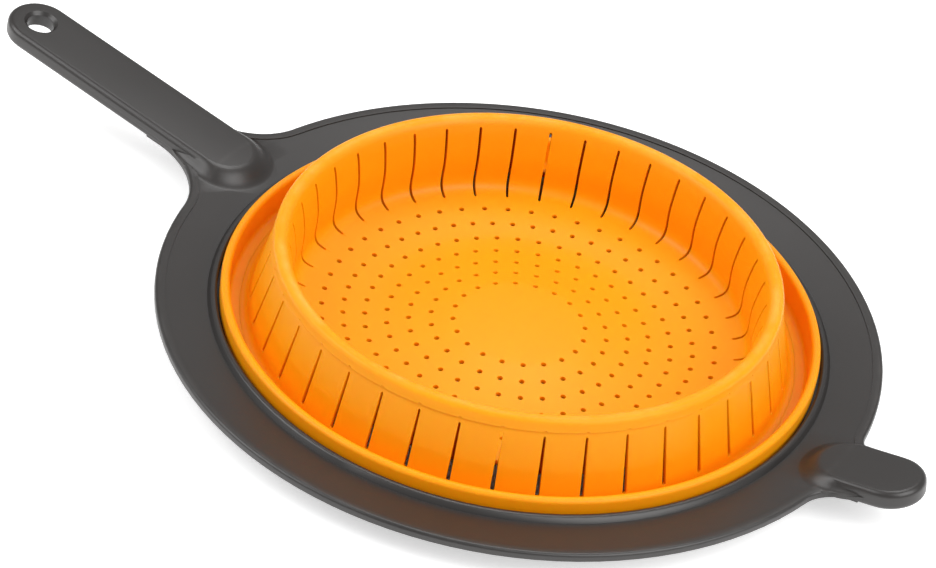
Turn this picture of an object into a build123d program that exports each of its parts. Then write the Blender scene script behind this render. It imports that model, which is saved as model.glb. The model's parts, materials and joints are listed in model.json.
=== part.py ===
from build123d import *
import math
import os

os.makedirs("parts", exist_ok=True)

# A steamer insert for a pot: a stiff ring with a long handle and a short tab carries a
# pop-up silicone basket. The basket is drawn popped up, as it is stored and served.
# Lengths are millimetres and angles are degrees. Z is up along the basket's axis, the
# handle points along -X and the tab along +X. Z is zero where the frame stands.

# Silicone sheet of the basket
skin = 1.9
slit_count = 40
slit_width = 1.0

# Upright rim, the size that the basket is drawn in from and the frame is drawn out from
rim_inner_radius = 103.0
rim_wall = 3.3
rim_top_z = 16.1
rim_flat = 0.3
rim_foot_ease = 1.0

# Gutter inside the rim, and the folding wall that rises from it
gutter_z = 5.4
gutter_fillet = 1.6
gutter_width = 4.5
folding_root_reach = 2.2
folding_root_fillet = 2.2
folding_draft = 6.15
outer_slit_top_margin = 2.4

# Folding band, the rounded crest that joins the two walls
band_foot_z = 32.6
band_rise = 3.1
band_width = 7.6
band_overhang = 0.2
crease_step = 0.85

# Inner wall, seen from inside the basket, down to the heel where it turns into the floor
inner_wall_draft = 2.2
heel_z = 6.3
heel_flat = 2.4
heel_reach = 6.4
inner_slit_foot = 0.9
inner_slit_margin = 0.8

# Basket floor, from the middle outwards: a raised disc, a wide moat and the rise to the heel.
# The first ring of holes lies in the disc and the others in the moat.
disc_z = 5.4
moat_z = 3.4
floor_edge_z = 5.65
hole_radius = 1.05
hole_sides = 6
first_ring_radius = 23.65
last_ring_inset = 4.79
ring_counts = [20, 26, 32, 38, 44, 52, 50]

# Frame: skirt that stands in the pot's mouth, and the ledge that grips the rim
rim_gap = 1.0
skirt_wall = 2.5
skirt_ease = 0.6
ledge_z = 6.9
ledge_wall = 1.6
ledge_depth = 2.75
grip_clearance = 0.15

# Frame: ring plate, rising outwards as a shallow cone from the rounded collar beside the rim
plate_lift = 3.3
plate_width = 18.4
plate_wall = 2.5
plate_angle = 8.8
collar_crown = 1.8
collar_round = 1.0
collar_land = 0.45
collar_slope = 0.8

# Frame: raised lip along the plate's edge
lip_width = 3.6
lip_height = 0.35
lip_round = 1.1

# Frame: handle and tab, thick straps that rise outwards from the plate
strap_width = 24.6
strap_thickness = 7.0
strap_round = 2.2
flare_reach = 3.0
flare_sink = 0.15
flare_bow = 0.75
flare_lean = 0.55
web_inset = 0.6
handle_nose_inset = 9.5
handle_reach = 103.0
handle_step = 4.35
handle_angle = 9.4
handle_web_fillet = 30.0
hang_hole_radius = 5.2
hang_hole_ease = 1.2
tab_nose_inset = 8.8
tab_reach = 28.5
tab_step = 4.05
tab_angle = 11.5
tab_web_fillet = 12.0

# One overrun for every cut, and how near an edge lies to the place that picks it
overrun = 1.0
edge_match = 0.05

# Radii and heights of the basket that follow from the sizes above
rim_outer_radius = rim_inner_radius + rim_wall
rim_round = (rim_wall - rim_flat) / 2
gutter_inner_radius = rim_inner_radius - gutter_width
folding_root_radius = gutter_inner_radius - folding_root_reach
folding_top_radius = folding_root_radius - folding_draft
band_outer_radius = folding_top_radius + crease_step
band_centre_radius = band_outer_radius - band_width / 2
crest_z = band_foot_z + band_rise
inner_wall_top_radius = band_outer_radius - band_width + band_overhang
heel_radius = inner_wall_top_radius - inner_wall_draft
floor_radius = heel_radius - heel_reach
last_ring_radius = floor_radius - last_ring_inset
ring_pitch = (last_ring_radius - first_ring_radius) / (len(ring_counts) - 1)

# Radii and heights of the frame that follow
skirt_inner_radius = rim_outer_radius + rim_gap
skirt_outer_radius = skirt_inner_radius + skirt_wall
ledge_inner_radius = skirt_inner_radius - ledge_depth
ledge_top_z = ledge_z + ledge_wall
plate_foot_radius = skirt_outer_radius + collar_slope
plate_foot_z = ledge_z + plate_lift
plate_radius = plate_foot_radius + plate_width
collar_z = plate_foot_z + collar_crown
strap_half = strap_width / 2
plate_reach = plate_radius + handle_web_fillet + strap_width


def lathe(*outline):
    # Turns a closed outline, drawn as radius and height, round the basket's axis.
    return revolve(Plane.XZ * make_face(Curve() + list(outline)), Axis.Z)


def around(solid, count, phase=0.0):
    # Copies of a solid spaced evenly round the basket's axis, the first turned by a share of the step.
    step = 360 / count
    return [Rot(0, 0, (copy + phase) * step) * solid for copy in range(count)]


def plate_top_z(radius):
    return plate_foot_z + (radius - plate_foot_radius) * math.tan(math.radians(plate_angle))


def slit_blade(inner, outer, low, high):
    # An upright blade on the +X side. Its faces are radial, so a slit's sides stay straight.
    slant = slit_width / 2 / outer
    outline = [
        (inner, -inner * slant),
        (outer, -outer * slant),
        (outer, outer * slant),
        (inner, inner * slant),
    ]
    return Pos(0, 0, low) * extrude(make_face(Polyline(*outline, close=True)), high - low)


def make_basket_floor():
    # One sheet with a raised disc in the middle and a wide moat, punched by rings of holes.
    top = [
        (0, disc_z),
        (first_ring_radius + 2 * hole_radius, disc_z),
        (first_ring_radius + ring_pitch - 2 * hole_radius, moat_z),
        (last_ring_radius + 2 * hole_radius, moat_z),
        (floor_radius, floor_edge_z),
    ]
    under = [(radius, height - skin) for radius, height in reversed(top)]
    sheet = lathe(Polyline(*top, *under, close=True))
    punch = extrude(RegularPolygon(hole_radius, hole_sides), disc_z + overrun)
    holes = []
    for ring, count in enumerate(ring_counts):
        radius = first_ring_radius + ring * ring_pitch
        last = ring == len(ring_counts) - 1
        holes += around(Pos(radius, 0, 0) * punch, count, phase=0.5 if last else 0.0)
    return sheet - holes


def make_basket_inner_wall():
    # A tapered wall with an eased heel, cut by slits that run on past the heel into the floor.
    inside = [
        (inner_wall_top_radius, band_foot_z),
        (heel_radius, heel_z + heel_flat),
        (heel_radius - heel_flat, heel_z),
        (floor_radius, floor_edge_z),
    ]
    outside = [
        (floor_radius, floor_edge_z - skin),
        (heel_radius - heel_flat + skin / 2, heel_z - skin),
        (heel_radius + skin, heel_z + heel_flat - skin / 2),
        (inner_wall_top_radius + skin, band_foot_z),
    ]
    sheet = lathe(Polyline(*inside, *outside, close=True))
    blade = slit_blade(
        floor_radius + inner_slit_foot,
        inner_wall_top_radius + skin + overrun,
        0,
        band_foot_z - inner_slit_margin,
    )
    return sheet - around(blade, slit_count)


def make_basket_fold_band():
    # A rounded arch over both walls, hollow beneath, with a small step over the folding wall.
    radius = band_width / 2
    centre_z = crest_z - radius
    half_foot = math.sqrt(radius**2 - (band_foot_z - centre_z) ** 2)
    inner_foot = (band_centre_radius - half_foot, band_foot_z)
    outer_foot = (band_centre_radius + half_foot, band_foot_z)
    crest = ThreePointArc(inner_foot, (band_centre_radius, crest_z), outer_foot)
    hollow_inner = inner_wall_top_radius + skin
    hollow_outer = folding_top_radius - skin
    hollow_middle = (hollow_inner + hollow_outer) / 2
    hollow_top = band_foot_z + (hollow_outer - hollow_inner) / 2
    hollow = Polyline(
        (hollow_outer, band_foot_z),
        (hollow_middle, hollow_top),
        (hollow_inner, band_foot_z),
    )
    outer_edge = Line(crest @ 1, hollow @ 0)
    inner_edge = Line(hollow @ 1, crest @ 0)
    return lathe(crest, outer_edge, hollow, inner_edge)


def make_basket_folding_wall():
    # A cone that turns out into the gutter at its foot. Slits stop short of both ends.
    outside = FilletPolyline(
        (folding_top_radius, band_foot_z),
        (folding_root_radius, gutter_z),
        (gutter_inner_radius, gutter_z),
        radius=folding_root_fillet,
    )
    inside = FilletPolyline(
        (folding_top_radius - skin, band_foot_z),
        (folding_root_radius - skin, gutter_z - skin),
        (gutter_inner_radius, gutter_z - skin),
        radius=folding_root_fillet + skin,
    )
    top = Line(outside @ 0, inside @ 0)
    foot = Line(outside @ 1, inside @ 1)
    sheet = lathe(outside, foot, inside, top)
    blade = slit_blade(
        folding_top_radius - skin - overrun,
        gutter_inner_radius,
        gutter_z + folding_root_fillet,
        band_foot_z - outer_slit_top_margin,
    )
    return sheet - around(blade, slit_count)


def make_basket_collar():
    # The gutter floor and the upright rim, grooved outside where the frame's ledge grips it.
    gutter_foot_z = gutter_z - skin
    groove_radius = ledge_inner_radius - grip_clearance
    groove_low = ledge_z - grip_clearance
    groove_high = ledge_top_z + grip_clearance
    gutter = FilletPolyline(
        (gutter_inner_radius, gutter_z),
        (rim_inner_radius, gutter_z),
        (rim_inner_radius, (gutter_z + rim_top_z) / 2),
        radius=gutter_fillet,
    )
    rim = FilletPolyline(
        gutter @ 1,
        (rim_inner_radius, rim_top_z),
        (rim_outer_radius, rim_top_z),
        (rim_outer_radius, groove_high),
        radius=rim_round,
    )
    groove = Polyline(
        rim @ 1,
        (groove_radius, groove_high),
        (groove_radius, groove_low),
        (rim_outer_radius, groove_low),
    )
    foot = Polyline(
        groove @ 1,
        (rim_outer_radius, gutter_foot_z + rim_foot_ease),
        (rim_outer_radius - rim_foot_ease, gutter_foot_z),
        (gutter_inner_radius, gutter_foot_z),
    )
    inner_edge = Line(foot @ 1, gutter @ 0)
    return lathe(gutter, rim, groove, foot, inner_edge)


def plan_outline():
    # The plate seen from above: a disc that flows into the handle and the tab through fillets.
    width = strap_width - 2 * web_inset
    outline = Circle(plate_radius)
    for side, web_fillet in ((-1, handle_web_fillet), (1, tab_web_fillet)):
        reach = plate_radius + web_fillet
        outline += Pos(side * reach / 2, 0) * Rectangle(reach, width)
        corners = outline.vertices().filter_by(
            lambda corner: corner.X * side > 0 and abs(abs(corner.Y) - width / 2) < web_inset
        )
        corners = corners.sort_by(lambda corner: math.hypot(corner.X, corner.Y))[:2]
        outline = fillet(corners, web_fillet)
    return outline


def cone_sheet(bottom_offset, top_offset, inner, outer):
    # A conical sheet along the plate's top, between two offsets from it.
    low_in = plate_top_z(inner)
    low_out = plate_top_z(outer)
    points = [
        (inner, low_in + bottom_offset),
        (outer, low_out + bottom_offset),
        (outer, low_out + top_offset),
        (inner, low_in + top_offset),
    ]
    return lathe(Polyline(*points, close=True))


def outline_edges(solid, outline, lift):
    # Edges of a solid that run along its plan outline, at one height above the plate's top.
    found = []
    for edge in solid.edges():
        middle = edge @ 0.5
        level = plate_top_z(math.hypot(middle.X, middle.Y)) + lift
        shadow = Vertex(middle.X, middle.Y, 0)
        if abs(middle.Z - level) < edge_match and outline.wire().distance_to(shadow) < edge_match:
            found.append(edge)
    return found


def make_plate():
    # The ring plate with its webs, and the border round it: a raised lip, rounded above.
    outline = plan_outline()
    height = plate_top_z(plate_reach) + overrun
    prism = extrude(outline, height)
    inset = extrude(offset(outline, -lip_width), height)
    sheet = cone_sheet(-plate_wall, 0, skirt_inner_radius + skirt_wall / 2, plate_reach) & inset
    border = cone_sheet(-plate_wall, lip_height, plate_foot_radius, plate_reach) & (prism - inset)
    border = fillet(outline_edges(border, outline, lip_height), lip_round)
    return sheet, border


def make_collar_ring():
    # The skirt with the ledge that grips the rim, and the rounded collar beside the rim.
    cone_meet = (plate_foot_radius, plate_foot_z)
    inner = FilletPolyline(
        (skirt_inner_radius, ledge_top_z),
        (skirt_inner_radius, collar_z),
        (skirt_outer_radius - collar_land, collar_z),
        cone_meet,
        radius=collar_round,
    )
    under = plate_foot_z - plate_wall
    outer = Polyline(
        inner @ 1,
        (plate_foot_radius, under),
        (skirt_outer_radius, under - collar_slope),
        (skirt_outer_radius, skirt_ease),
        (skirt_outer_radius - skirt_ease, 0),
        (skirt_inner_radius, 0),
        (skirt_inner_radius, ledge_z),
        (ledge_inner_radius, ledge_z),
        (ledge_inner_radius, ledge_top_z),
        (skirt_inner_radius, ledge_top_z),
    )
    return lathe(inner, outer)


def make_strap(nose_inset, reach, step, angle):
    # A thick strap with round ends that lies on the plate, rising outwards along +X. Its top
    # is one step above the plate's top where it crosses the plate's edge.
    sine = math.sin(math.radians(angle))
    cosine = math.cos(math.radians(angle))
    nose = -nose_inset / cosine
    tip = reach / cosine
    slot = Pos((nose + tip) / 2, 0) * SlotOverall(tip - nose, strap_width)
    strap = extrude(slot, -strap_thickness)
    faces = strap.faces().sort_by(Axis.Z)
    strap = fillet(faces[0].edges() + faces[-1].edges(), strap_round)
    # A hollow flare eases the nose into the plate
    slopes_apart = math.tan(math.radians(angle)) - math.tan(math.radians(plate_angle))
    plate_level = nose_inset * slopes_apart - step
    flare_top = plate_level + flare_reach
    flare_foot = plate_level - plate_wall / 2
    curve = ThreePointArc(
        (strap_half - flare_lean, flare_top),
        (strap_half + flare_bow, plate_level + flare_bow),
        (strap_half + flare_reach, plate_level - flare_sink),
    )
    rest = Polyline(
        curve @ 1,
        (strap_half + flare_reach, flare_foot),
        (0, flare_foot),
        (0, flare_top),
        curve @ 0,
    )
    flare = Pos(nose + strap_half, 0, 0) * lathe(curve, rest)
    slope = Plane(
        origin=(plate_radius, 0, plate_top_z(plate_radius) + step),
        x_dir=(cosine, 0, sine),
        z_dir=(-sine, 0, cosine),
    )
    return slope, strap + flare, tip


def make_frame():
    # The straps end level with the plate's underside, so that a pot's rim lies flat against it.
    # The border is joined last, where the plate already carries the straps.
    below = cone_sheet(-plate_wall - strap_thickness, -plate_wall, plate_foot_radius, plate_radius)
    slope, strap, tip = make_strap(handle_nose_inset, handle_reach, handle_step, handle_angle)
    hole_place = Pos(tip - strap_half, 0, -strap_thickness / 2)
    strap -= hole_place * Cylinder(hang_hole_radius, strap_thickness + 2 * overrun)
    mouths = strap.edges().filter_by(GeomType.CIRCLE).filter_by(
        lambda edge: abs(edge.radius - hang_hole_radius) < edge_match
    )
    strap = chamfer(mouths, hang_hole_ease)
    handle = Rot(0, 0, 180) * (slope * strap) - below
    slope, strap, tip = make_strap(tab_nose_inset, tab_reach, tab_step, tab_angle)
    tab = slope * strap - below
    sheet, border = make_plate()
    frame = sheet + make_collar_ring() + handle + tab
    return frame + border


nodes = {
    "frame": make_frame,
    "basket_collar": make_basket_collar,
    "basket_folding_wall": make_basket_folding_wall,
    "basket_fold_band": make_basket_fold_band,
    "basket_inner_wall": make_basket_inner_wall,
    "basket_floor": make_basket_floor,
}

for name, make in nodes.items():
    export_step(make(), f"parts/{name}.step")
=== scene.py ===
import json
import math

import bpy
from mathutils import Matrix, Vector

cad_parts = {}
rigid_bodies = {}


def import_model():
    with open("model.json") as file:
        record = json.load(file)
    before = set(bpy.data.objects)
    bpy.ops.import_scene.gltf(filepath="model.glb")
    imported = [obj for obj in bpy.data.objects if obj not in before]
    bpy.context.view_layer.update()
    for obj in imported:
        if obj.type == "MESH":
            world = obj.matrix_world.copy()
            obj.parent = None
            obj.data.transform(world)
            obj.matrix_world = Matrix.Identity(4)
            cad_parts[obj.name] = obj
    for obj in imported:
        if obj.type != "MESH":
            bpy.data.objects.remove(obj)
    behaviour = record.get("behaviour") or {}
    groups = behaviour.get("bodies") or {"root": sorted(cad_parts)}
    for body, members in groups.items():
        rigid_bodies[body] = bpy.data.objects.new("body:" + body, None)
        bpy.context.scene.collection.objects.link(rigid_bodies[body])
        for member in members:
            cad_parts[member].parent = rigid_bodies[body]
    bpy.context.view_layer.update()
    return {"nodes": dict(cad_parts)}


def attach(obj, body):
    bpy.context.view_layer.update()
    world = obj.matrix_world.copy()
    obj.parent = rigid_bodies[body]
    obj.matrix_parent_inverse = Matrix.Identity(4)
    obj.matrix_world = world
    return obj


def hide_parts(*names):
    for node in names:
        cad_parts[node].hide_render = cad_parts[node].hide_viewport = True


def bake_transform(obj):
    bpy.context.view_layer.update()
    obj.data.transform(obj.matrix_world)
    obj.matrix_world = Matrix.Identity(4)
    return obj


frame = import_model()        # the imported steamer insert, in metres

mm = 0.001
print("frame loaded")


# Helpers for modelling by hand

def selectNothing():
    if bpy.context.mode != "OBJECT":
        bpy.ops.object.mode_set(mode="OBJECT")
    bpy.ops.object.select_all(action="DESELECT")


def workOn(piece):
    selectNothing()
    piece.select_set(True)
    bpy.context.view_layer.objects.active = piece


def startEditing(piece, elements="VERT"):
    workOn(piece)
    bpy.ops.object.mode_set(mode="EDIT")
    bpy.ops.mesh.select_mode(type=elements)
    bpy.ops.mesh.select_all(action="DESELECT")


def stopEditing():
    bpy.ops.object.mode_set(mode="OBJECT")


def selectAll():
    bpy.ops.mesh.select_all(action="SELECT")


def pickPoints(piece, wanted):
    # selects the points of a mesh whose place in millimetres passes the test, and nothing else
    bpy.ops.object.mode_set(mode="EDIT")
    bpy.ops.mesh.select_mode(type="VERT")
    bpy.ops.mesh.select_all(action="DESELECT")
    bpy.ops.object.mode_set(mode="OBJECT")
    for point in piece.data.vertices:
        point.select = wanted(point.co / mm)
    bpy.ops.object.mode_set(mode="EDIT")


def radiusOf(point):
    return math.hypot(point[0], point[1])


def angleOf(point):
    return math.degrees(math.atan2(point[1], point[0]))


def arc(centre, radius, first, last, steps):
    # points of an arc in the radius and height plane, angles from the outward direction
    turns = [math.radians(first + (last - first) * step / steps) for step in range(steps + 1)]
    return [
        (centre[0] + radius * math.cos(turn), centre[1] + radius * math.sin(turn)) for turn in turns
    ]


def drawProfile(name, points):
    # one point of a plane is drawn out along the profile, in the plane of the X and Z axes
    selectNothing()
    bpy.ops.mesh.primitive_plane_add(size=mm, location=(points[0][0] * mm, 0, points[0][1] * mm))
    piece = bpy.context.object
    piece.name = piece.data.name = name
    bpy.ops.object.transform_apply(location=True, rotation=True, scale=True)
    startEditing(piece)
    selectAll()
    bpy.ops.mesh.merge(type="CENTER")
    for here, there in zip(points, points[1:]):
        move = ((there[0] - here[0]) * mm, 0, (there[1] - here[1]) * mm)
        bpy.ops.mesh.extrude_region_move(TRANSFORM_OT_translate={"value": move})
    return piece


def spinSelected(degrees, steps, copies=False):
    bpy.ops.mesh.spin(
        steps=steps,
        angle=math.radians(degrees),
        center=(0, 0, 0),
        axis=(0, 0, 1),
        dupli=copies,
    )


def mergeAll(distance=0.01):
    selectAll()
    bpy.ops.mesh.remove_doubles(threshold=distance * mm)


def faceOutward():
    selectAll()
    bpy.ops.mesh.normals_make_consistent(inside=False)


def addModifier(piece, kind, **settings):
    modifier = piece.modifiers.new(kind.title(), kind)
    for setting, value in settings.items():
        setattr(modifier, setting, value)
    workOn(piece)
    bpy.ops.object.modifier_apply(modifier=modifier.name)


def smoothBy(piece, degrees):
    workOn(piece)
    bpy.ops.object.shade_smooth_by_angle(angle=math.radians(degrees))


def dress(piece, body, slot, material, *nodes):
    # gives a piece its finish and the body that it rides on, and hides the imported nodes that it stands
    # for
    piece.data.materials.clear()
    piece.data.materials.append(material)
    if body:
        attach(piece, body)
    if nodes:
        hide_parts(*nodes)


# Finishes

def newGroup(name, inputs, outputs):
    group = bpy.data.node_groups.new(name, "ShaderNodeTree")
    for label, kind, value in inputs:
        socket = group.interface.new_socket(name=label, in_out="INPUT", socket_type=kind)
        socket.default_value = value
    for label, kind in outputs:
        group.interface.new_socket(name=label, in_out="OUTPUT", socket_type=kind)
    start = group.nodes.new("NodeGroupInput")
    end = group.nodes.new("NodeGroupOutput")
    return group, start, end


def makeMouldGrain():
    # fine moulding grain with soft handling smears, as a height and a change of roughness
    group, start, end = newGroup(
        "mouldGrain",
        [("Vector", "NodeSocketVector", (0, 0, 0)), ("Grain Scale", "NodeSocketFloat", 900.0),
         ("Smear Scale", "NodeSocketFloat", 14.0), ("Smear Amount", "NodeSocketFloat", 0.1)],
        [("Height", "NodeSocketFloat"), ("Smear", "NodeSocketFloat")],
    )
    grain = group.nodes.new("ShaderNodeTexNoise")
    grain.inputs["Detail"].default_value = 3.0
    smear = group.nodes.new("ShaderNodeTexNoise")
    smear.inputs["Detail"].default_value = 4.0
    smear.inputs["Distortion"].default_value = 0.6
    spread = group.nodes.new("ShaderNodeMath")
    spread.operation = "MULTIPLY_ADD"
    half = group.nodes.new("ShaderNodeMath")
    half.operation = "MULTIPLY"
    half.inputs[1].default_value = -0.5
    link = group.links.new
    link(start.outputs["Vector"], grain.inputs["Vector"])
    link(start.outputs["Grain Scale"], grain.inputs["Scale"])
    link(start.outputs["Vector"], smear.inputs["Vector"])
    link(start.outputs["Smear Scale"], smear.inputs["Scale"])
    link(start.outputs["Smear Amount"], half.inputs[0])
    link(smear.outputs["Fac"], spread.inputs[0])
    link(start.outputs["Smear Amount"], spread.inputs[1])
    link(half.outputs[0], spread.inputs[2])
    link(grain.outputs["Fac"], end.inputs["Height"])
    link(spread.outputs[0], end.inputs["Smear"])
    return group


def makeEdgeWearAndSheen():
    # patches of rubbing and of painted highlight along a round edge, as a mask from 0 to 1
    group, start, end = newGroup(
        "edgeWearAndSheen",
        [("Vector", "NodeSocketVector", (0, 0, 0)), ("Edge Radius", "NodeSocketFloat", 0.1),
         ("Reach", "NodeSocketFloat", 0.002), ("Patch Scale", "NodeSocketFloat", 60.0)],
        [("Wear And Sheen", "NodeSocketFloat")],
    )
    flat = group.nodes.new("ShaderNodeVectorMath")
    flat.operation = "MULTIPLY"
    flat.inputs[1].default_value = (1, 1, 0)
    radius = group.nodes.new("ShaderNodeVectorMath")
    radius.operation = "LENGTH"
    gap = group.nodes.new("ShaderNodeMath")
    gap.operation = "SUBTRACT"
    size = group.nodes.new("ShaderNodeMath")
    size.operation = "ABSOLUTE"
    near = group.nodes.new("ShaderNodeMapRange")
    near.inputs["To Min"].default_value = 1.0
    near.inputs["To Max"].default_value = 0.0
    patches = group.nodes.new("ShaderNodeTexNoise")
    patches.inputs["Detail"].default_value = 5.0
    patches.inputs["Roughness"].default_value = 0.65
    worn = group.nodes.new("ShaderNodeMapRange")
    worn.inputs["From Min"].default_value = 0.42
    worn.inputs["From Max"].default_value = 0.68
    both = group.nodes.new("ShaderNodeMath")
    both.operation = "MULTIPLY"
    link = group.links.new
    link(start.outputs["Vector"], flat.inputs[0])
    link(flat.outputs["Vector"], radius.inputs[0])
    link(radius.outputs["Value"], gap.inputs[0])
    link(start.outputs["Edge Radius"], gap.inputs[1])
    link(gap.outputs[0], size.inputs[0])
    link(size.outputs[0], near.inputs["Value"])
    link(start.outputs["Reach"], near.inputs["From Max"])
    link(start.outputs["Vector"], patches.inputs["Vector"])
    link(start.outputs["Patch Scale"], patches.inputs["Scale"])
    link(patches.outputs["Fac"], worn.inputs["Value"])
    link(near.outputs["Result"], both.inputs[0])
    link(worn.outputs["Result"], both.inputs[1])
    link(both.outputs[0], end.inputs["Wear And Sheen"])
    return group


mouldGrain = makeMouldGrain()
edgeWearAndSheen = makeEdgeWearAndSheen()


def newMaterial(name):
    material = bpy.data.materials.new(name)
    material.use_nodes = True
    shader = material.node_tree.nodes["Principled BSDF"]
    return material, material.node_tree.nodes, material.node_tree.links.new, shader


def grained(nodes, link, shader, look):
    # puts the moulding grain into a finish: bump from the grain, roughness from smears and rubbing
    place = nodes.new("ShaderNodeTexCoord")
    grain = nodes.new("ShaderNodeGroup")
    grain.node_tree = mouldGrain
    grain.inputs["Grain Scale"].default_value = look["grainScale"]
    grain.inputs["Smear Scale"].default_value = look["smearScale"]
    grain.inputs["Smear Amount"].default_value = look["smearAmount"]
    link(place.outputs["Object"], grain.inputs["Vector"])
    bump = nodes.new("ShaderNodeBump")
    bump.inputs["Strength"].default_value = look["grainStrength"]
    bump.inputs["Distance"].default_value = look["grainDepth"]
    link(grain.outputs["Height"], bump.inputs["Height"])
    link(bump.outputs["Normal"], shader.inputs["Normal"])
    roughness = nodes.new("ShaderNodeMath")
    roughness.operation = "ADD"
    roughness.inputs[1].default_value = look["roughness"]
    link(grain.outputs["Smear"], roughness.inputs[0])
    wearAndSheen = nodes.new("ShaderNodeGroup")
    wearAndSheen.node_tree = edgeWearAndSheen
    wearAndSheen.inputs["Edge Radius"].default_value = look["wearAndSheenRadius"]
    wearAndSheen.inputs["Reach"].default_value = look["wearAndSheenReach"]
    wearAndSheen.inputs["Patch Scale"].default_value = look["wearAndSheenScale"]
    link(place.outputs["Object"], wearAndSheen.inputs["Vector"])
    rubbedAndSheen = nodes.new("ShaderNodeMath")
    rubbedAndSheen.operation = "MULTIPLY_ADD"
    rubbedAndSheen.inputs[1].default_value = look["wearRoughness"]
    link(wearAndSheen.outputs["Wear And Sheen"], rubbedAndSheen.inputs[0])
    link(roughness.outputs[0], rubbedAndSheen.inputs[2])
    link(rubbedAndSheen.outputs[0], shader.inputs["Roughness"])
    return place, wearAndSheen


def toned(nodes, link, shader, look, place, wearAndSheen):
    # the colour: soft clouds between two tones, paler along the edge for rubbing and as a painted
    # highlight
    tone = nodes.new("ShaderNodeMix")
    tone.data_type = "RGBA"
    tone.inputs["A"].default_value = look["deep"]
    tone.inputs["B"].default_value = look["bright"]
    cloud = nodes.new("ShaderNodeTexNoise")
    cloud.inputs["Scale"].default_value = look["cloudScale"]
    link(place.outputs["Object"], cloud.inputs["Vector"])
    link(cloud.outputs["Fac"], tone.inputs["Factor"])
    paler = nodes.new("ShaderNodeMix")
    paler.data_type = "RGBA"
    # the edge mask pales the colour: for rubbing, and as a painted highlight along the rounded edge
    paler.inputs["B"].default_value = look["rubbedAndSheen"]
    link(wearAndSheen.outputs["Wear And Sheen"], paler.inputs["Factor"])
    link(tone.outputs["Result"], paler.inputs["A"])
    link(paler.outputs["Result"], shader.inputs["Base Color"])


nylonLook = {
    "deep": (0.0155, 0.0132, 0.0120, 1),
    "bright": (0.0205, 0.0178, 0.0164, 1),
    # paler tone along the plate's rim: rubbing and a painted highlight
    "rubbedAndSheen": (0.034, 0.031, 0.029, 1),
    "cloudScale": 9.0,
    "roughness": 0.36,
    "grainScale": 2600.0,
    "grainStrength": 0.25,
    "grainDepth": 0.00006,
    "smearScale": 18.0,
    "smearAmount": 0.10,
    "wearAndSheenRadius": 0.1279,
    "wearAndSheenReach": 0.0014,
    "wearAndSheenScale": 55.0,
    "wearRoughness": 0.08,
    "ior": 1.5,
    "specular": 0.62,
}


def makeNylon():
    material, nodes, link, shader = newMaterial("charcoalNylon")
    place, wearAndSheen = grained(nodes, link, shader, nylonLook)
    toned(nodes, link, shader, nylonLook, place, wearAndSheen)
    shader.inputs["IOR"].default_value = nylonLook["ior"]
    shader.inputs["Specular IOR Level"].default_value = nylonLook["specular"]
    return material


siliconeLook = {
    "deep": (0.93, 0.318, 0.0012, 1),
    "bright": (0.96, 0.342, 0.002, 1),
    # paler, bluer tone along the crest: rubbing and a painted highlight
    "rubbedAndSheen": (0.96, 0.40, 0.05, 1),
    "cloudScale": 16.0,
    "roughness": 0.42,
    "grainScale": 1500.0,
    "grainStrength": 0.12,
    "grainDepth": 0.00004,
    "smearScale": 22.0,
    "smearAmount": 0.12,
    "wearAndSheenRadius": 0.0868,
    "wearAndSheenReach": 0.0022,
    "wearAndSheenScale": 70.0,
    "wearRoughness": 0.1,
    "ior": 1.42,
    "specular": 0.3,
    "scatter": 0.45,
    "scatterReach": (1.0, 0.35, 0.05),
    "scatterScale": 0.004,
}


def makeSilicone():
    material, nodes, link, shader = newMaterial("orangeSilicone")
    place, wearAndSheen = grained(nodes, link, shader, siliconeLook)
    toned(nodes, link, shader, siliconeLook, place, wearAndSheen)
    shader.inputs["IOR"].default_value = siliconeLook["ior"]
    shader.inputs["Specular IOR Level"].default_value = siliconeLook["specular"]
    shader.inputs["Subsurface Weight"].default_value = siliconeLook["scatter"]
    shader.inputs["Subsurface Radius"].default_value = siliconeLook["scatterReach"]
    shader.inputs["Subsurface Scale"].default_value = siliconeLook["scatterScale"]
    return material


nylon = makeNylon()
silicone = makeSilicone()
print("finishes made")


# Frame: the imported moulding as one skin, its straps eased into the plate by two rolls

frameShape = {
    "mergeDistance": 0.002,
    "smoothAngle": 32.0,
    # the profile of a roll, as radius and height from the strap's top: inside the crown it keeps its
    # width, and at the strap's sides its slope is narrowed to the side share
    "roll": [
        (0, -0.5), (8.6, -0.12), (9.6, -0.02), (10.4, -0.03), (11.2, -0.13), (12.0, -0.34), (13.0, -0.76),
        (14.0, -1.32), (15.0, -1.98), (16.0, -2.66), (17.0, -3.26), (18.0, -3.72), (19.0, -4.03),
        (20.0, -4.2), (21.0, -4.28), (21.0, -5.4), (0, -5.4),
    ],
    "rollSteps": 96,
    "rollCrown": 10.4,
    "rollSide": 0.17,
    "rollEnd": 18.0,      # it ends this far out from the nose's centre, inside the strap
    # a strap's heading and slope in degrees, the radius and height where its top starts, and its roll:
    # its centre and depth, the angles between which it narrows, and how far it is drawn outwards
    "straps": [
        {"turn": 180.0, "rise": 9.4, "edge": 129.0, "height": 17.4, "centre": 2.67, "depth": 1.0,
         "shrink": (40.0, 150.0), "stretch": 2.2},
        {"turn": 0.0, "rise": 11.5, "edge": 129.0, "height": 17.1, "centre": 3.32, "depth": 0.85,
         "shrink": (20.0, 130.0), "stretch": 2.4},
    ],
}


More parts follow.
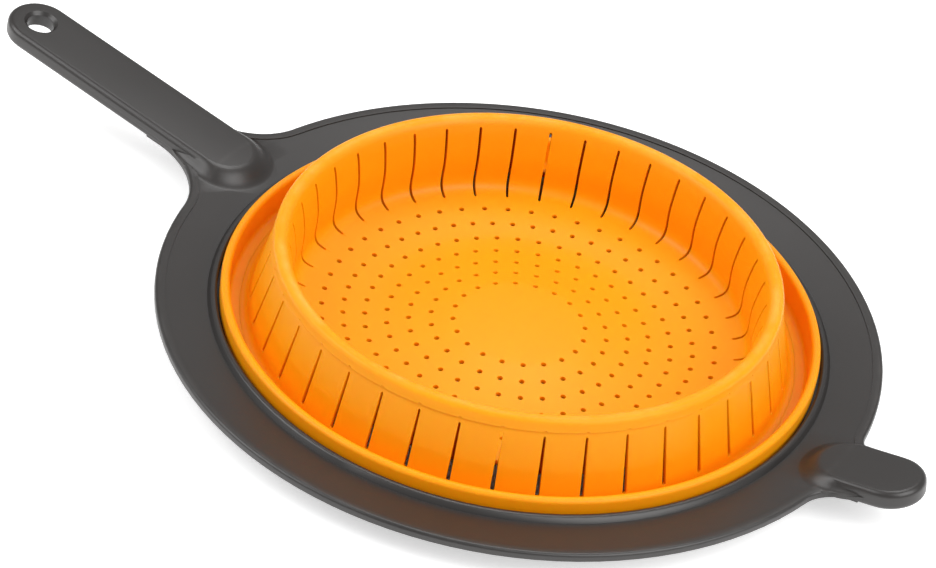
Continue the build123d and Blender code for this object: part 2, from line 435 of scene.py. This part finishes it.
def makeRoll(strap):
    # a pebble turned about the centre of the nose, narrowed at the strap's sides and drawn outwards
    roll = drawProfile("strapRoll", frameShape["roll"])
    selectAll()
    spinSelected(360, frameShape["rollSteps"])
    mergeAll()
    faceOutward()
    stopEditing()
    side, crown = frameShape["rollSide"], frameShape["rollCrown"]
    first, last = strap["shrink"]
    for point in roll.data.vertices:
        away = abs(math.degrees(math.atan2(point.co.y, -point.co.x)))  # from the nose's front
        share = min(max((away - first) / (last - first), 0), 1)
        share = share * share * (3 - 2 * share)
        reach = max(point.co.xy.length / mm, crown)
        drawn = 1 - (1 - side) * share * (reach - crown) / reach
        point.co.x *= drawn
        if point.co.x > 0:
            point.co.x = min(point.co.x * strap["stretch"], frameShape["rollEnd"] * mm)
        point.co.y *= drawn
        point.co.z *= strap["depth"]
    startEditing(roll)
    selectAll()
    bpy.ops.transform.translate(value=(strap["centre"] * mm, 0, 0))
    lean, turn = math.radians(strap["rise"]), math.radians(strap["turn"])
    bpy.ops.transform.rotate(value=lean, orient_axis="Y", center_override=(0, 0, 0))
    bpy.ops.transform.translate(value=(strap["edge"] * mm, 0, strap["height"] * mm))
    bpy.ops.transform.rotate(value=-turn, orient_axis="Z", center_override=(0, 0, 0))
    stopEditing()
    return roll


def makeFrame():
    source = frame["nodes"]["frame"]
    workOn(source)
    bpy.ops.object.duplicate()
    piece = bpy.context.object
    piece.name = piece.data.name = "frameMoulding"
    bpy.ops.object.parent_clear(type="CLEAR_KEEP_TRANSFORM")
    for key in list(piece.keys()):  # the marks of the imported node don't belong on a new piece
        del piece[key]
    bpy.ops.mesh.customdata_custom_splitnormals_clear()
    startEditing(piece)
    mergeAll(frameShape["mergeDistance"])
    stopEditing()
    for strap in frameShape["straps"]:
        roll = makeRoll(strap)
        addModifier(piece, "BOOLEAN", operation="UNION", object=roll, solver="EXACT")
        bpy.data.objects.remove(roll)
    smoothBy(piece, frameShape["smoothAngle"])
    dress(piece, "frame", "charcoal_nylon", nylon, "frame")


makeFrame()
print("frame skinned")


# Basket: shared sizes, in millimetres

basket = {
    "skin": 1.9,
    "slits": 40,
    "wallSteps": 5,
    "slitColumns": 4,
    "slitRound": 0.5,
    "edgeEase": 0.14,
    "edgeAngle": 50.0,
    "smoothAngle": 40.0,
    "near": 0.05,         # how near a point lies to the place that picks it
}

sector = 360 / basket["slits"]


def spinSector(slit):
    # spins the drawn profile into one sector: the columns of its slit first, then the wall's steps
    half = slit["halfAngle"]
    selectAll()
    bpy.ops.transform.rotate(
        value=-math.radians(half),
        orient_axis="Z",
        center_override=(0, 0, 0),
    )
    selectAll()
    spinSelected(2 * half, basket["slitColumns"])
    spinSelected(sector - 2 * half, basket["wallSteps"])
    stopEditing()


def cutSlit(piece, slit):
    # deletes the faces of the slit, rounds its two ends, sets its width row by row and copies it round
    half = slit["halfAngle"]
    aside = half / basket["slitColumns"] / 2
    near = basket["near"]
    startEditing(piece, "FACE")
    stopEditing()
    for face in piece.data.polygons:
        middle = face.center / mm
        inside = abs(angleOf(middle)) < half
        face.select = inside and slit["holds"](radiusOf(middle), middle[2])
    bpy.ops.object.mode_set(mode="EDIT")
    bpy.ops.mesh.delete(type="FACE")
    for end in slit["ends"]:
        spot = end["spot"]
        for share in (-0.5, 0.0, 0.5):
            reach = basket["slitRound"] * math.sqrt(1 - share * share)
            pickPoints(
                piece,
                lambda point: abs(angleOf(point) - share * half) < aside
                and abs(radiusOf(point) - spot[0]) < near
                and abs(point[2] - spot[1]) < near,
            )
            bpy.ops.transform.translate(
                value=(end["way"][0] * reach * mm, 0, end["way"][1] * reach * mm)
            )
    for height, widening in slit["widenings"]:
        for share in (-1, -0.5, 0.5, 1):
            # the sector's other end meets the slit's far edge once it is copied round, and moves with it
            spots = [share * half] + ([half - sector] if share == 1 else [])
            pickPoints(
                piece,
                lambda point: min(abs(angleOf(point) - spot) for spot in spots) < aside
                and abs(point[2] - height) < near,
            )
            turn = math.radians((widening - 1) * share * half)
            bpy.ops.transform.rotate(value=-turn, orient_axis="Z", center_override=(0, 0, 0))
    selectAll()
    spinSelected(360 - sector, basket["slits"] - 1, copies=True)
    mergeAll()
    stopEditing()


# Basket collar: gutter floor and upright rim, held by the frame

collarShape = {
    "seamRadius": 99.0,
    "gutterHeight": 5.4,
    "innerRadius": 103.0,
    "outerRadius": 106.3,
    "topHeight": 16.1,
    "topRound": 1.5,
    "gutterRound": 1.6,
    "footHeight": 3.5,
    "footRound": 1.2,
    "groove": [(106.3, 8.65), (104.4, 8.65), (104.4, 6.75), (106.3, 6.75)],
    "roundSteps": 6,
    "footSteps": 4,
    "steps": 360,
}


def makeCollar():
    size = collarShape
    inner, outer, steps = size["innerRadius"], size["outerRadius"], size["roundSteps"]
    fillet, rim, foot = size["gutterRound"], size["topRound"], size["footRound"]
    top = size["topHeight"] - rim
    points = [(size["seamRadius"], size["gutterHeight"])]
    points += arc((inner - fillet, size["gutterHeight"] + fillet), fillet, -90, 0, steps)
    points += arc((inner + rim, top), rim, 180, 90, steps)
    points += arc((outer - rim, top), rim, 90, 0, steps)
    points += size["groove"]
    points += arc((outer - foot, size["footHeight"] + foot), foot, 0, -90, size["footSteps"])
    points += [(size["seamRadius"], size["footHeight"]), (size["seamRadius"], size["gutterHeight"])]
    piece = drawProfile("basketCollar", points)
    selectAll()
    spinSelected(360, size["steps"])
    mergeAll()
    faceOutward()
    stopEditing()
    smoothBy(piece, basket["smoothAngle"])
    dress(piece, "frame", "orange_silicone", silicone, "basket_collar")


makeCollar()
print("collar turned")


# Basket folding wall: the wall between the gutter and the band, which turns inside out on the real
# insert; here it is built in one shape and rides on no body

wallShape = {
    "seamRadius": 99.0,
    "gutterHeight": 5.4,
    "rootRadius": 96.3,
    "rootRound": 2.2,
    "rootSteps": 6,
    "topRadius": 89.1,
    "topHeight": 32.6,
    "tuck": [(89.45, 30.8), (89.0, 31.4), (88.9, 32.6), (88.9, 33.2)],
    "slitLow": 8.0,
    "slitHigh": 29.2,
    "slitHalfAngle": 0.33,
    "slitWidths": (1.35, 0.78),      # shares of the slit's width at its low and its high end
    "endRow": 2.2,                   # from a slit's end to the first row inside it
    "aboveSlit": 0.9,
    "rows": 14,
}


def makeFoldingWall():
    size = wallShape
    rise = size["topHeight"] - size["gutterHeight"]
    run = size["rootRadius"] - size["topRadius"]
    lean = math.degrees(math.atan2(run, rise))
    # the fillet between the flat gutter and the leaning wall
    turn = 90 - lean
    tangent = size["rootRound"] * math.tan(math.radians(turn / 2))
    centre = (size["rootRadius"] + tangent, size["gutterHeight"] + size["rootRound"])
    bend = arc(centre, size["rootRound"], -90, -90 - turn, size["rootSteps"])

    def wallAt(height):
        return (size["rootRadius"] - run * (height - size["gutterHeight"]) / rise, height)

    def widthAt(height):
        share = (height - size["slitLow"]) / (size["slitHigh"] - size["slitLow"])
        wide, narrow = size["slitWidths"]
        return wide + (narrow - wide) * share

    lows = [size["slitLow"] + basket["slitRound"], size["slitLow"] + size["endRow"]]
    highs = [size["slitHigh"] - size["endRow"], size["slitHigh"] - basket["slitRound"]]
    middle = [
        lows[1] + (highs[0] - lows[1]) * row / size["rows"] for row in range(1, size["rows"])
    ]
    heights = lows + middle + highs
    points = [(size["seamRadius"], size["gutterHeight"])] + bend
    points += [wallAt(height) for height in heights + [size["slitHigh"] + size["aboveSlit"]]]
    points += size["tuck"]
    piece = drawProfile("basketFoldingWall", points)
    low, high = wallAt(lows[0]), wallAt(highs[1])
    slope = Vector((-run, rise)).normalized()
    slit = {
        "halfAngle": size["slitHalfAngle"],
        "holds": lambda radius, height: lows[0] < height < highs[1],
        "ends": [
            {"spot": low, "way": -slope},
            {"spot": high, "way": slope},
        ],
        "widenings": [(height, widthAt(height)) for height in heights],
    }
    spinSector(slit)
    cutSlit(piece, slit)
    startEditing(piece)
    faceOutward()
    stopEditing()
    addModifier(piece, "SOLIDIFY", thickness=basket["skin"] * mm, offset=-1.0, use_even_offset=True)
    addModifier(
        piece, "BEVEL", width=basket["edgeEase"] * mm, segments=2, limit_method="ANGLE",
        angle_limit=math.radians(basket["edgeAngle"]), harden_normals=False, loop_slide=False,
    )
    smoothBy(piece, basket["smoothAngle"])
    dress(piece, None, "orange_silicone", silicone)
    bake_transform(piece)
    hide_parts("basket_folding_wall")


makeFoldingWall()
print("folding wall made")


# Basket cup: perforated floor, slit inner wall and rolled band, one sheet

floorShape = {
    "rings": [20, 26, 32, 38, 44, 52, 50],
    "firstRadius": 23.65,
    "pitch": 7.76,
    "holeRadius": 1.03,
    "holeSides": 12,
    "cellReach": 3.0,
    "cellSplit": 3,
    # radius and height of the floor's upper face
    "middle": [(0, 6.9), (8, 6.8), (16, 6.5)],
    "heights": [
        (23.65, 6.0), (31.4, 4.81), (39.2, 3.79), (47.0, 3.05), (54.7, 3.03), (62.4, 3.96), (70.2, 5.05),
    ],
    "rim": [(74.4, 5.68), (77.1, 6.17)],
    "hubShares": [0.72, 0.62, 0.5, 0.4],        # how far each loop is drawn in towards the middle
    "top": 8.0,               # all of the floor lies below this
    "near": 0.02,
    "mergeDistance": 0.005,
}

cupShape = {
    "floorEdge": (74.4, 5.68),
    "slitLine": [
        (77.1, 6.17), (78.1, 6.43), (79.1, 6.8), (80.0, 7.3), (80.75, 8.05), (81.25, 9.0), (81.5, 10.1),
        (81.6, 11.6), (81.52, 13.6), (81.4, 15.6), (81.33, 17.6), (81.36, 19.6), (81.5, 21.6),
        (81.75, 23.4), (82.05, 25.2), (82.35, 26.9), (82.65, 28.4), (82.95, 29.8), (83.3, 31.0),
        (83.62, 31.9),
    ],
    "crest": [
        (83.87, 32.6), (84.2, 33.5), (84.65, 34.3), (85.2, 34.92), (85.9, 35.38), (86.7, 35.62),
        (87.5, 35.68), (88.25, 35.6), (88.85, 35.35), (89.3, 34.92), (89.58, 34.3), (89.7, 33.5),
        (89.8, 32.6), (90.0, 31.8), (90.1, 31.35),
    ],
    "slitHalfAngle": 0.36,
}


def makeRing(count, radius, turn):
    # one floor cell, a round hole inside a patch that spans its share of the ring, copied round
    selectNothing()
    bpy.ops.mesh.primitive_circle_add(
        vertices=floorShape["holeSides"],
        radius=floorShape["holeRadius"] * mm,
        location=(radius * mm, 0, 0),
        rotation=(0, 0, math.radians(180 / floorShape["holeSides"])),
    )
    cell = bpy.context.object
    bpy.ops.object.transform_apply(location=True, rotation=True, scale=True)
    startEditing(cell)
    selectAll()
    bpy.ops.mesh.extrude_region_move(TRANSFORM_OT_translate={"value": (0, 0, 0)})
    stopEditing()
    half = 180 / count
    split = floorShape["cellSplit"]
    for point in cell.data.vertices:
        if not point.select:
            continue
        # the outer loop goes out to the patch's border, its points spread evenly along the sides
        away = Vector((point.co.x - radius * mm, point.co.y))
        away /= max(abs(away.x), abs(away.y))
        across, along = (round(share * split) / split for share in away)
        there = (radius + floorShape["cellReach"] * across) * mm
        angle = math.radians(half * along)
        point.co = (there * math.cos(angle), there * math.sin(angle), 0)
    startEditing(cell)
    selectAll()
    if turn:
        bpy.ops.transform.rotate(value=math.radians(-half), orient_axis="Z", center_override=(0, 0, 0))
        selectAll()
    spinSelected(360 - 360 / count, count - 1, copies=True)
    mergeAll()
    stopEditing()
    return cell


def joinAll(pieces, name):
    selectNothing()
    for piece in pieces:
        piece.select_set(True)
    bpy.context.view_layer.objects.active = pieces[0]
    bpy.ops.object.join()
    joined = bpy.context.object
    joined.name = joined.data.name = name
    return joined


def smoothHeight(radius, table):
    # a smooth curve through the table's heights, flat at the middle
    if radius <= table[0][0]:
        return table[0][1]
    for index in range(len(table) - 1):
        (r0, z0), (r1, z1) = table[index], table[index + 1]
        if r0 <= radius <= r1:
            before = table[index - 1] if index else (-r1, z1)
            after = table[index + 2] if index + 2 < len(table) else (2 * r1 - r0, 2 * z1 - z0)
            slope0 = (z1 - before[1]) / (r1 - before[0])
            slope1 = (after[1] - z0) / (after[0] - r0)
            gap = r1 - r0
            t = (radius - r0) / gap
            return (
                (2 * t**3 - 3 * t**2 + 1) * z0
                + (t**3 - 2 * t**2 + t) * gap * slope0
                + (3 * t**2 - 2 * t**3) * z1
                + (t**3 - t**2) * gap * slope1
            )
    return table[-1][1]


def makeCup():
    size = cupShape
    # the wall's sector: floor edge, slit wall and crest
    line = size["slitLine"]
    table = floorShape["middle"] + floorShape["heights"] + floorShape["rim"]
    piece = drawProfile("basketCup", [size["floorEdge"]] + line + size["crest"])
    lowWay = (Vector(size["floorEdge"]) - Vector(line[0])).normalized()
    highWay = (Vector(size["crest"][0]) - Vector(line[-1])).normalized()
    slit = {
        "halfAngle": size["slitHalfAngle"],
        "holds": lambda radius, height: radius > line[0][0] and height < line[-1][1],
        "ends": [
            {"spot": line[0], "way": lowWay},
            {"spot": line[-1], "way": highWay},
        ],
        "widenings": [],
    }
    spinSector(slit)
    cutSlit(piece, slit)
    # the floor: one ring of cells after another, joined by bridges
    counts = floorShape["rings"]
    radii = [floorShape["firstRadius"] + index * floorShape["pitch"] for index in range(len(counts))]
    rings = [
        makeRing(count, radius, radius == radii[-1]) for count, radius in zip(counts, radii)
    ]
    floor = joinAll(rings, "basketFloor")
    for point in floor.data.vertices:
        point.co.z = smoothHeight(radiusOf(point.co) / mm, table) * mm
    cup = joinAll([piece, floor], "basketCup")
    startEditing(cup)
    reach, near = floorShape["cellReach"], floorShape["near"]
    joints = [(low + reach, high - reach) for low, high in zip(radii, radii[1:])]
    joints.append((radii[-1] + reach, size["floorEdge"][0]))
    for low, high in joints:
        pickPoints(
            cup,
            lambda point: min(abs(radiusOf(point) - low), abs(radiusOf(point) - high)) < near
            and point[2] < floorShape["top"],
        )
        bpy.ops.mesh.bridge_edge_loops()
    # the middle: the first ring's inner loop is drawn in and closed at its centre
    hub = radii[0] - reach
    pickPoints(cup, lambda point: abs(radiusOf(point) - hub) < near)
    now = hub
    for share in floorShape["hubShares"]:
        bpy.ops.mesh.extrude_region_move()
        bpy.ops.transform.resize(value=(share, share, 1), center_override=(0, 0, 0))
        here = now
        now *= share
        lift = smoothHeight(now, table) - smoothHeight(here, table)
        bpy.ops.transform.translate(value=(0, 0, lift * mm))
    bpy.ops.mesh.extrude_region_move()
    bpy.ops.mesh.merge(type="CENTER")
    mergeAll(floorShape["mergeDistance"])
    faceOutward()
    stopEditing()
    sample = min(cup.data.polygons, key=lambda face: radiusOf(face.center))
    if sample.normal.z < 0:
        startEditing(cup)
        selectAll()
        bpy.ops.mesh.flip_normals()
        stopEditing()
    addModifier(cup, "SOLIDIFY", thickness=basket["skin"] * mm, offset=-1.0, use_even_offset=True)
    addModifier(
        cup, "BEVEL", width=basket["edgeEase"] * mm, segments=1, limit_method="ANGLE",
        angle_limit=math.radians(basket["edgeAngle"]), harden_normals=False,
    )
    smoothBy(cup, basket["smoothAngle"])
    nodes = ("basket_floor", "basket_inner_wall", "basket_fold_band")
    dress(cup, "basket", "orange_silicone", silicone, *nodes)


makeCup()
print("cup made")


# Studio: pale floor, soft lights and the camera of the photograph

studio = {
    # floor and lamps in metres
    "floorRadius": 3.0,
    "floorSides": 160,
    "floorRoughness": 0.9,
    "floorSpecular": 0.1,
    "wellRadius": 0.1082,
    "wellDepth": 0.058,
    "floorTone": (0.93, 0.93, 0.93, 1),
    "worldTone": (1.0, 1.0, 1.0, 1),
    "worldStrength": 0.47,
    "floorGlow": 0.5,
    "glowEase": 0.001,
    "softboxes": [
        {"name": "rightSoftbox", "spot": (1.05, -0.15, 1.15), "size": 1.2, "power": 17.0},
        {"name": "leftSoftbox", "spot": (-0.95, -0.65, 1.05), "size": 1.0, "power": 11.0},
        {"name": "backSoftbox", "spot": (-0.25, 0.65, 1.4), "size": 0.6, "power": 6.0},
    ],
    # camera in degrees and millimetres
    "cameraAzimuth": -62.06,
    "cameraElevation": 36.51,
    "cameraRoll": 9.20,
    "cameraDistance": 1061.0,
    "cameraSlide": (18.08, -13.85),
    "targetHeight": 6.0,
    "focalPixels": 3000.0,
    "imageWidth": 936.0,
    "sensorWidth": 36.0,
    "nearest": 50.0,
    "farthest": 20000.0,
}


def makeCamera():
    a = math.radians(studio["cameraAzimuth"])
    e = math.radians(studio["cameraElevation"])
    roll = math.radians(studio["cameraRoll"])
    back = Vector((math.cos(e) * math.cos(a), math.cos(e) * math.sin(a), math.sin(e)))
    flat = Vector((-math.sin(a), math.cos(a), 0))
    lift = back.cross(flat)
    right = math.cos(roll) * flat + math.sin(roll) * lift
    up = -math.sin(roll) * flat + math.cos(roll) * lift
    slide = studio["cameraSlide"]
    spot = back * studio["cameraDistance"] - right * slide[0] - up * slide[1]
    spot = (spot + Vector((0, 0, studio["targetHeight"]))) * mm
    camera = bpy.data.objects.new("camera", bpy.data.cameras.new("camera"))
    bpy.context.scene.collection.objects.link(camera)
    camera.data.sensor_width = studio["sensorWidth"]
    camera.data.lens = studio["focalPixels"] * studio["sensorWidth"] / studio["imageWidth"]
    camera.data.clip_start = studio["nearest"] * mm
    camera.data.clip_end = studio["farthest"] * mm
    camera.matrix_world = Matrix((
        (right.x, up.x, back.x, spot.x),
        (right.y, up.y, back.y, spot.y),
        (right.z, up.z, back.z, spot.z),
        (0, 0, 0, 1),
    ))
    bpy.context.scene.camera = camera


def makeFloor():
    # a pale disc with a round well under the skirt, like a pot's mouth, for the lowered basket
    selectNothing()
    bpy.ops.mesh.primitive_circle_add(vertices=studio["floorSides"], radius=studio["wellRadius"])
    floor = bpy.context.object
    floor.name = "studioFloor"
    startEditing(floor)
    selectAll()
    bpy.ops.mesh.extrude_region_move()
    widening = studio["floorRadius"] / studio["wellRadius"]
    bpy.ops.transform.resize(value=(widening, widening, 1), center_override=(0, 0, 0))
    pickPoints(floor, lambda point: radiusOf(point) < 2 * studio["wellRadius"] / mm)
    drop = {"value": (0, 0, -studio["wellDepth"])}
    bpy.ops.mesh.extrude_region_move(TRANSFORM_OT_translate=drop)
    bpy.ops.mesh.edge_face_add()
    faceOutward()
    stopEditing()
    material, nodes, link, shader = newMaterial("paleFloor")
    shader.inputs["Base Color"].default_value = studio["floorTone"]
    shader.inputs["Roughness"].default_value = studio["floorRoughness"]
    shader.inputs["Specular IOR Level"].default_value = studio["floorSpecular"]
    shader.inputs["Emission Strength"].default_value = studio["floorGlow"]
    # the floor glows a little round the object, to lighten its shadow, and not under the skirt
    place = nodes.new("ShaderNodeTexCoord")
    flat = nodes.new("ShaderNodeVectorMath")
    flat.operation = "MULTIPLY"
    flat.inputs[1].default_value = (1, 1, 0)
    reach = nodes.new("ShaderNodeVectorMath")
    reach.operation = "LENGTH"
    shade = nodes.new("ShaderNodeMapRange")
    shade.inputs["From Min"].default_value = studio["wellRadius"]
    shade.inputs["From Max"].default_value = studio["wellRadius"] + studio["glowEase"]
    link(place.outputs["Object"], flat.inputs[0])
    link(flat.outputs["Vector"], reach.inputs[0])
    link(reach.outputs["Value"], shade.inputs["Value"])
    link(shade.outputs["Result"], shader.inputs["Emission Color"])
    floor.data.materials.append(material)


def addSoftbox(box):
    # a soft square lamp that faces the middle of the object's foot
    data = bpy.data.lights.new(box["name"], "AREA")
    data.shape = "RECTANGLE"
    data.size = data.size_y = box["size"]
    data.energy = box["power"]
    lamp = bpy.data.objects.new(box["name"], data)
    bpy.context.scene.collection.objects.link(lamp)
    lamp.location = box["spot"]
    lamp.rotation_mode = "QUATERNION"
    lamp.rotation_quaternion = (-Vector(box["spot"])).to_track_quat("-Z", "Y")


def makeStudio():
    world = bpy.data.worlds.new("studioWorld")
    world.use_nodes = True
    sky = world.node_tree.nodes["Background"]
    sky.inputs["Color"].default_value = studio["worldTone"]
    sky.inputs["Strength"].default_value = studio["worldStrength"]
    bpy.context.scene.world = world
    bpy.context.scene.view_settings.view_transform = "Standard"
    for box in studio["softboxes"]:
        addSoftbox(box)
    makeFloor()


makeCamera()
makeStudio()
print("studio ready")
